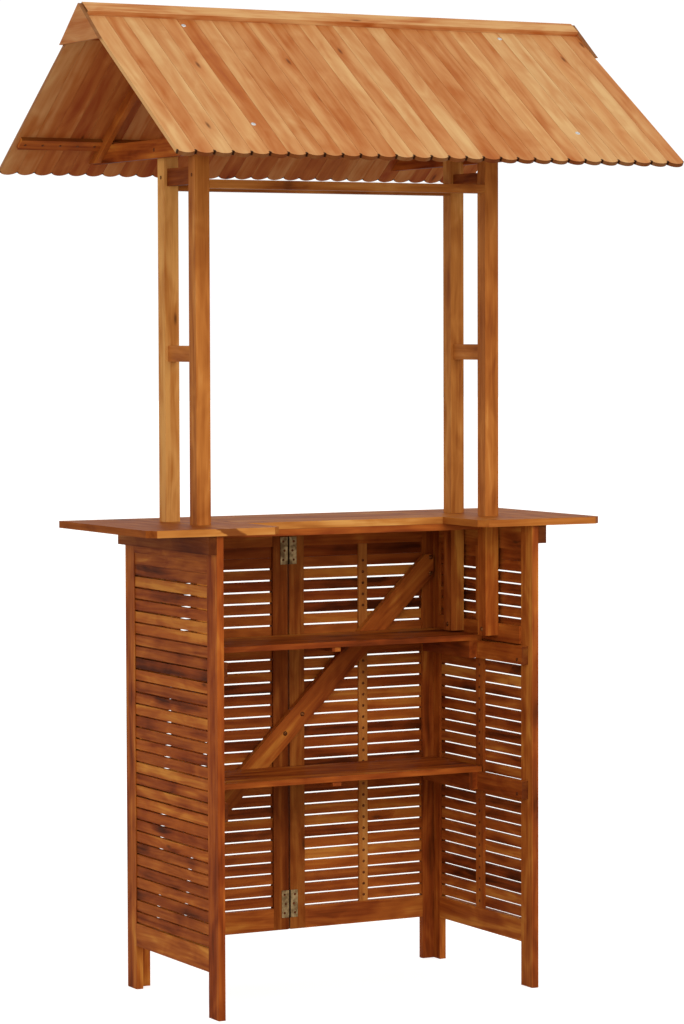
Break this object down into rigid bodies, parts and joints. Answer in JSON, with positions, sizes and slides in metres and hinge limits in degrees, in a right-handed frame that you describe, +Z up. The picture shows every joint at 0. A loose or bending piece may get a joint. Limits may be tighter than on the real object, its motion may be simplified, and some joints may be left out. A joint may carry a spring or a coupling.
{
  "type": "roofed garden bar table",
  "caption": "Slatted wooden bar body with a U-shaped counter, shelves on the server's side and posts carrying a gabled roof of scalloped planks.",
  "frame": {"origin": "on the floor, under the middle of the whole part's box; x = 0 is the middle of the bar and y = 0 lies under the roof's ridge", "axes": "+Z up; -Y is the server's open side, +Y the customers' side; +X runs along the counter to the right as the server's side is seen from outside"},
  "size_m": [1.2396, 0.9448, 2.1699],
  "materials": {
    "panel_wood": "satin",
    "shelf_wood": "satin",
    "counter_wood": "satin",
    "frame_wood": "satin",
    "roof_wood": "satin",
    "hinge_brass": "satin"
  },
  "bodies": {
    "root": {"counter_apron": "counter_wood", "counter_front_board": "counter_wood", "counter_left_wing": "counter_wood", "counter_right_wing": "counter_wood", "diagonal_brace": "panel_wood", "far_ridge_board": "roof_wood", "far_roof_deck": "roof_wood", "far_roof_rail": "frame_wood", "left_counter_cleat": "counter_wood", "left_far_post": "frame_wood", "left_far_rafter": "frame_wood", "left_gable_plate": "roof_wood", "left_leaf_bottom_rail": "panel_wood", "left_leaf_centre_stile": "panel_wood", "left_leaf_end_stile": "panel_wood", "left_leaf_slats": "panel_wood", "left_leaf_top_rail": "panel_wood", "left_lower_shelf_cleat": "shelf_wood", "left_near_post": "frame_wood", "left_near_rafter": "frame_wood", "left_panel_bottom_rail": "panel_wood", "left_panel_far_stile": "panel_wood", "left_panel_near_stile": "panel_wood", "left_panel_slats": "panel_wood", "left_panel_top_rail": "panel_wood", "left_post_block": "frame_wood", "left_side_board": "frame_wood", "left_tie_beam": "frame_wood", "left_upper_shelf_cleat": "shelf_wood", "lower_hinge_left_leaf": "hinge_brass", "lower_hinge_right_leaf": "hinge_brass", "lower_shelf": "shelf_wood", "near_ridge_board": "roof_wood", "near_roof_deck": "roof_wood", "near_roof_rail": "frame_wood", "right_counter_cleat": "counter_wood", "right_far_post": "frame_wood", "right_far_rafter": "frame_wood", "right_gable_plate": "roof_wood", "right_leaf_bottom_rail": "panel_wood", "right_leaf_centre_stile": "panel_wood", "right_leaf_end_stile": "panel_wood", "right_leaf_slats": "panel_wood", "right_leaf_top_rail": "panel_wood", "right_lower_shelf_cleat": "shelf_wood", "right_near_post": "frame_wood", "right_near_rafter": "frame_wood", "right_panel_bottom_rail": "panel_wood", "right_panel_far_stile": "panel_wood", "right_panel_near_stile": "panel_wood", "right_panel_slats": "panel_wood", "right_panel_top_rail": "panel_wood", "right_post_block": "frame_wood", "right_side_board": "frame_wood", "right_tie_beam": "frame_wood", "right_upper_shelf_cleat": "shelf_wood", "upper_hinge_left_leaf": "hinge_brass", "upper_hinge_right_leaf": "hinge_brass", "upper_shelf": "shelf_wood"}
  },
  "joints": []
}
